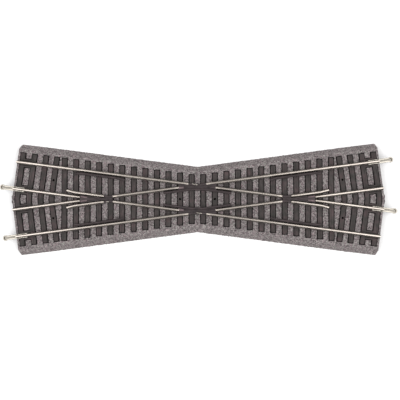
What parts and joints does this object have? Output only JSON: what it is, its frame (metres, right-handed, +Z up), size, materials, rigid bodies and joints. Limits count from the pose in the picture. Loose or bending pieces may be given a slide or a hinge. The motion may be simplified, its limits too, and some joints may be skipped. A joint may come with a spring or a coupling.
{
  "type": "model railway diamond crossing",
  "caption": "Straight diamond crossing for 16.5 mm gauge model track: two tracks cross at 15 degrees on a moulded ballast bed, with plastic frogs and sliding rail joiners.",
  "frame": {"origin": "on the table, below the middle of the crossing", "axes": "+X (east) along the long axis, +Y (north) across it, +Z up; track A runs 7.5 degrees below +X, track B 7.5 degrees above it"},
  "size_m": [0.2566, 0.0726, 0.0091],
  "materials": {
    "ballast_plastic": "moulded granular ballast, mauve grey, matt",
    "sleeper_plastic": "dark brown-grey moulded wood grain, matt",
    "crossing_plastic": "dark red-brown moulded plastic, matt",
    "rail_metal": "drawn nickel silver, satin",
    "joiner_metal": "pressed nickel silver sheet, satin",
    "contact_metal": "stamped spring bronze, bright"
  },
  "bodies": {
    "track": {"ballast_bed": "ballast_plastic", "sleeper_grid": "sleeper_plastic", "outer_rail_ne": "rail_metal", "outer_rail_nw": "rail_metal", "outer_rail_se": "rail_metal", "outer_rail_sw": "rail_metal", "end_rail_ne": "rail_metal", "end_rail_nw": "rail_metal", "end_rail_se": "rail_metal", "end_rail_sw": "rail_metal", "closure_rail_ne": "rail_metal", "closure_rail_nw": "rail_metal", "closure_rail_se": "rail_metal", "closure_rail_sw": "rail_metal", "wing_rail_ne": "rail_metal", "wing_rail_nw": "rail_metal", "wing_rail_se": "rail_metal", "wing_rail_sw": "rail_metal", "check_rail_ne": "crossing_plastic", "check_rail_nw": "crossing_plastic", "check_rail_se": "crossing_plastic", "check_rail_sw": "crossing_plastic", "acute_frog_east": "crossing_plastic", "acute_frog_west": "crossing_plastic", "obtuse_crossing_north": "crossing_plastic", "obtuse_crossing_south": "crossing_plastic", "contact_strip_a_north": "contact_metal", "contact_strip_a_south": "contact_metal", "contact_strip_b_north": "contact_metal", "contact_strip_b_south": "contact_metal"},
    "rail_joiner_east_inner": {"rail_joiner_east_inner": "joiner_metal"},
    "rail_joiner_east_outer": {"rail_joiner_east_outer": "joiner_metal"},
    "rail_joiner_west_inner": {"rail_joiner_west_inner": "joiner_metal"},
    "rail_joiner_west_outer": {"rail_joiner_west_outer": "joiner_metal"}
  },
  "joints": [
    {"name": "joiner_slide_east_inner", "type": "slide", "parent": "track", "child": "rail_joiner_east_inner", "axis": [0.9914, -0.1305, 0], "range_m": [-0.001, 0.008]},
    {"name": "joiner_slide_east_outer", "type": "slide", "parent": "track", "child": "rail_joiner_east_outer", "axis": [0.9914, 0.1305, 0], "range_m": [-0.001, 0.008]},
    {"name": "joiner_slide_west_inner", "type": "slide", "parent": "track", "child": "rail_joiner_west_inner", "axis": [-0.9914, 0.1305, 0], "range_m": [-0.001, 0.008]},
    {"name": "joiner_slide_west_outer", "type": "slide", "parent": "track", "child": "rail_joiner_west_outer", "axis": [-0.9914, -0.1305, 0], "range_m": [-0.001, 0.008]}
  ]
}
